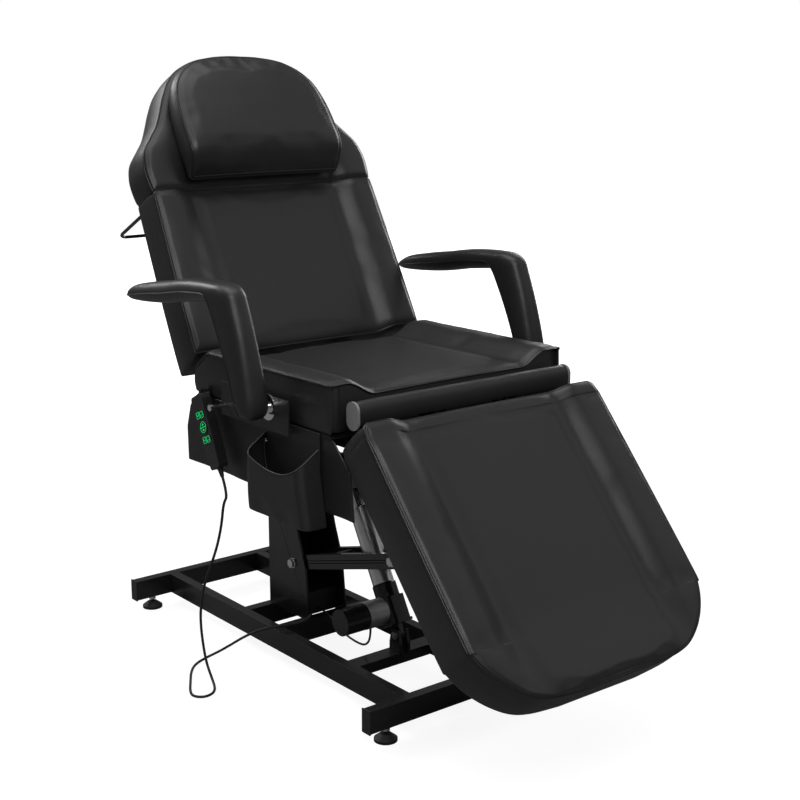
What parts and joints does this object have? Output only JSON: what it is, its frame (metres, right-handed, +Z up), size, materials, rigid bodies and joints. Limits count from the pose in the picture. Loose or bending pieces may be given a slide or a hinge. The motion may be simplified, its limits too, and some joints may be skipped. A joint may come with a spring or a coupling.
{
  "type": "tattoo chair",
  "caption": "Electric tattoo chair: padded seat, reclining back with head pillow, raising leg rest, swing armrests and handset, on lift arms over a ladder base.",
  "frame": {"origin": "on the floor under the middle of the chair as it stands, cord left out", "axes": "+Z up, -Y the way the sitter faces, +X towards the sitter's left"},
  "size_m": [0.834, 1.4702, 1.3929],
  "materials": {
    "black_steel": "gloss",
    "black_plastic": "matte",
    "black_gloss_plastic": "gloss",
    "rubber": "matte",
    "zinc": "satin",
    "chrome": "polished",
    "aluminium": "satin",
    "grey_steel": "satin",
    "upholstery": "satin",
    "plywood": "matte",
    "light_plate": "satin",
    "button_green": "gloss"
  },
  "bodies": {
    "base": {"base_end_tubes": "black_steel", "base_side_tubes": "black_steel", "base_cross_tubes": "black_steel", "tube_end_caps": "black_plastic", "foot_nuts": "zinc", "pedestal": "black_steel", "base_pivot_bolts": "zinc", "lift_bracket": "black_steel", "control_box": "black_plastic", "handset_cord_floor": "rubber", "motor_leads": "rubber"},
    "foot_front_left": {"foot_front_left": "rubber"},
    "foot_front_right": {"foot_front_right": "rubber"},
    "foot_rear_left": {"foot_rear_left": "rubber"},
    "foot_rear_right": {"foot_rear_right": "rubber"},
    "lower_arms": {"lift_arms_lower": "black_steel"},
    "upper_arms": {"lift_arms_upper": "black_steel"},
    "lift_actuator": {"lift_gearbox": "black_plastic", "lift_motor": "black_gloss_plastic", "lift_motor_band": "grey_steel", "lift_outer_tube": "chrome"},
    "lift_rod": {"lift_rod": "aluminium"},
    "seat": {"carriage": "black_steel", "carriage_bolts": "zinc", "seat_frame": "black_steel", "seat_board": "plywood", "seat_cushion": "upholstery", "filler_roll": "upholstery", "roll_end_plates": "light_plate", "side_skirts": "upholstery", "skirt_pocket": "upholstery", "arm_plates": "black_steel", "arm_hubs": "chrome", "back_actuator": "black_plastic", "leg_actuator": "black_plastic", "handset_front_shell": "black_plastic", "handset_rear": "black_plastic", "handset_hook": "black_steel", "handset_cord_hanging": "rubber"},
    "back": {"back_frame": "black_steel", "back_board": "plywood", "back_cushion": "upholstery", "head_cushion": "upholstery", "towel_rail": "aluminium"},
    "pillow": {"head_pillow": "upholstery"},
    "leg_rest": {"leg_frame": "black_steel", "leg_board": "plywood", "leg_cushion": "upholstery"},
    "back_rod": {"back_actuator_rod": "aluminium"},
    "leg_rod": {"leg_actuator_rod": "aluminium"},
    "armrest_left": {"armrest_left": "upholstery"},
    "armrest_right": {"armrest_right": "upholstery"},
    "lock_pin_left": {"arm_lock_pin_left": "chrome"},
    "lock_pin_right": {"arm_lock_pin_right": "chrome"},
    "button_back_up": {"button_back_up": "button_green"},
    "button_back_down": {"button_back_down": "button_green"},
    "button_lift_up": {"button_lift_up": "button_green"},
    "button_lift_down": {"button_lift_down": "button_green"},
    "button_leg_up": {"button_leg_up": "button_green"},
    "button_leg_down": {"button_leg_down": "button_green"}
  },
  "joints": [
    {"name": "foot_front_left_screw", "type": "slide", "parent": "base", "child": "foot_front_left", "axis": [0, 0, -1], "range_m": [0, 0.012]},
    {"name": "foot_front_right_screw", "type": "slide", "parent": "base", "child": "foot_front_right", "axis": [0, 0, -1], "range_m": [0, 0.012]},
    {"name": "foot_rear_left_screw", "type": "slide", "parent": "base", "child": "foot_rear_left", "axis": [0, 0, -1], "range_m": [0, 0.012]},
    {"name": "foot_rear_right_screw", "type": "slide", "parent": "base", "child": "foot_rear_right", "axis": [0, 0, -1], "range_m": [0, 0.012]},
    {"name": "lift", "type": "hinge", "parent": "base", "child": "lower_arms", "pos_m": [0, 0.267, 0.211], "axis": [-1, 0, 0], "range_deg": [-13, 18.5]},
    {"name": "upper_arm_pivot", "type": "hinge", "parent": "base", "child": "upper_arms", "pos_m": [0, 0.314, 0.389], "axis": [-1, 0, 0], "range_deg": [-13, 18.5]},
    {"name": "seat_level", "type": "hinge", "parent": "lower_arms", "child": "seat", "pos_m": [0, -0.10604, 0.31586], "axis": [1, 0, 0], "range_deg": [-13, 18.5]},
    {"name": "lift_actuator_tilt", "type": "hinge", "parent": "base", "child": "lift_actuator", "pos_m": [0, -0.07, 0.123], "axis": [-1, 0, 0], "range_deg": [-1, 1]},
    {"name": "lift_rod_slide", "type": "slide", "parent": "lift_actuator", "child": "lift_rod", "axis": [0, 0.4894, 0.8721], "range_m": [-0.05, 0.07]},
    {"name": "back_recline", "type": "hinge", "parent": "seat", "child": "back", "pos_m": [0, 0.294, 0.69], "axis": [1, 0, 0], "range_deg": [-62.5, 7.5]},
    {"name": "back_rod_slide", "type": "slide", "parent": "seat", "child": "back_rod", "axis": [0, 1, 0], "range_m": [-0.106, 0.0135]},
    {"name": "leg_raise", "type": "hinge", "parent": "seat", "child": "leg_rest", "pos_m": [0, -0.281, 0.711], "axis": [-1, 0, 0], "range_deg": [0, 49.2]},
    {"name": "leg_rod_slide", "type": "slide", "parent": "seat", "child": "leg_rod", "axis": [0, -1, 0], "range_m": [-0.001, 0.093]},
    {"name": "pillow_slide", "type": "slide", "parent": "back", "child": "pillow", "axis": [0, 0.4617, 0.887], "range_m": [0, 0.03]},
    {"name": "armrest_left_swing", "type": "hinge", "parent": "seat", "child": "armrest_left", "pos_m": [0.384, -0.081, 0.702], "axis": [1, 0, 0], "range_deg": [-62, 8]},
    {"name": "armrest_right_swing", "type": "hinge", "parent": "seat", "child": "armrest_right", "pos_m": [-0.384, -0.081, 0.702], "axis": [1, 0, 0], "range_deg": [-62, 8]},
    {"name": "lock_pin_left_pull", "type": "slide", "parent": "seat", "child": "lock_pin_left", "axis": [1, 0, 0], "range_m": [0, 0.008], "stiffness_N_per_m": 300, "springref_m": -0.01},
    {"name": "lock_pin_right_pull", "type": "slide", "parent": "seat", "child": "lock_pin_right", "axis": [-1, 0, 0], "range_m": [0, 0.008], "stiffness_N_per_m": 300, "springref_m": -0.01},
    {"name": "button_back_up_press", "type": "slide", "parent": "seat", "child": "button_back_up", "axis": [1, 0, 0], "range_m": [0, 0.0012], "stiffness_N_per_m": 1500, "springref_m": -0.0005},
    {"name": "button_back_down_press", "type": "slide", "parent": "seat", "child": "button_back_down", "axis": [1, 0, 0], "range_m": [0, 0.0012], "stiffness_N_per_m": 1500, "springref_m": -0.0005},
    {"name": "button_lift_up_press", "type": "slide", "parent": "seat", "child": "button_lift_up", "axis": [1, 0, 0], "range_m": [0, 0.0012], "stiffness_N_per_m": 1500, "springref_m": -0.0005},
    {"name": "button_lift_down_press", "type": "slide", "parent": "seat", "child": "button_lift_down", "axis": [1, 0, 0], "range_m": [0, 0.0012], "stiffness_N_per_m": 1500, "springref_m": -0.0005},
    {"name": "button_leg_up_press", "type": "slide", "parent": "seat", "child": "button_leg_up", "axis": [1, 0, 0], "range_m": [0, 0.0012], "stiffness_N_per_m": 1500, "springref_m": -0.0005},
    {"name": "button_leg_down_press", "type": "slide", "parent": "seat", "child": "button_leg_down", "axis": [1, 0, 0], "range_m": [0, 0.0012], "stiffness_N_per_m": 1500, "springref_m": -0.0005}
  ],
  "couplings": [
    {"joint": "upper_arm_pivot", "follows": "lift", "ratio": 1},
    {"joint": "seat_level", "follows": "lift", "ratio": 1},
    {"joint": "lift_actuator_tilt", "follows": "lift", "ratio": 0.02198},
    {"joint": "lift_rod_slide", "follows": "lift", "m_per_rad": 0.20079},
    {"joint": "back_rod_slide", "follows": "back_recline", "m_per_rad": 0.0953},
    {"joint": "leg_rod_slide", "follows": "leg_raise", "m_per_rad": 0.1066}
  ]
}
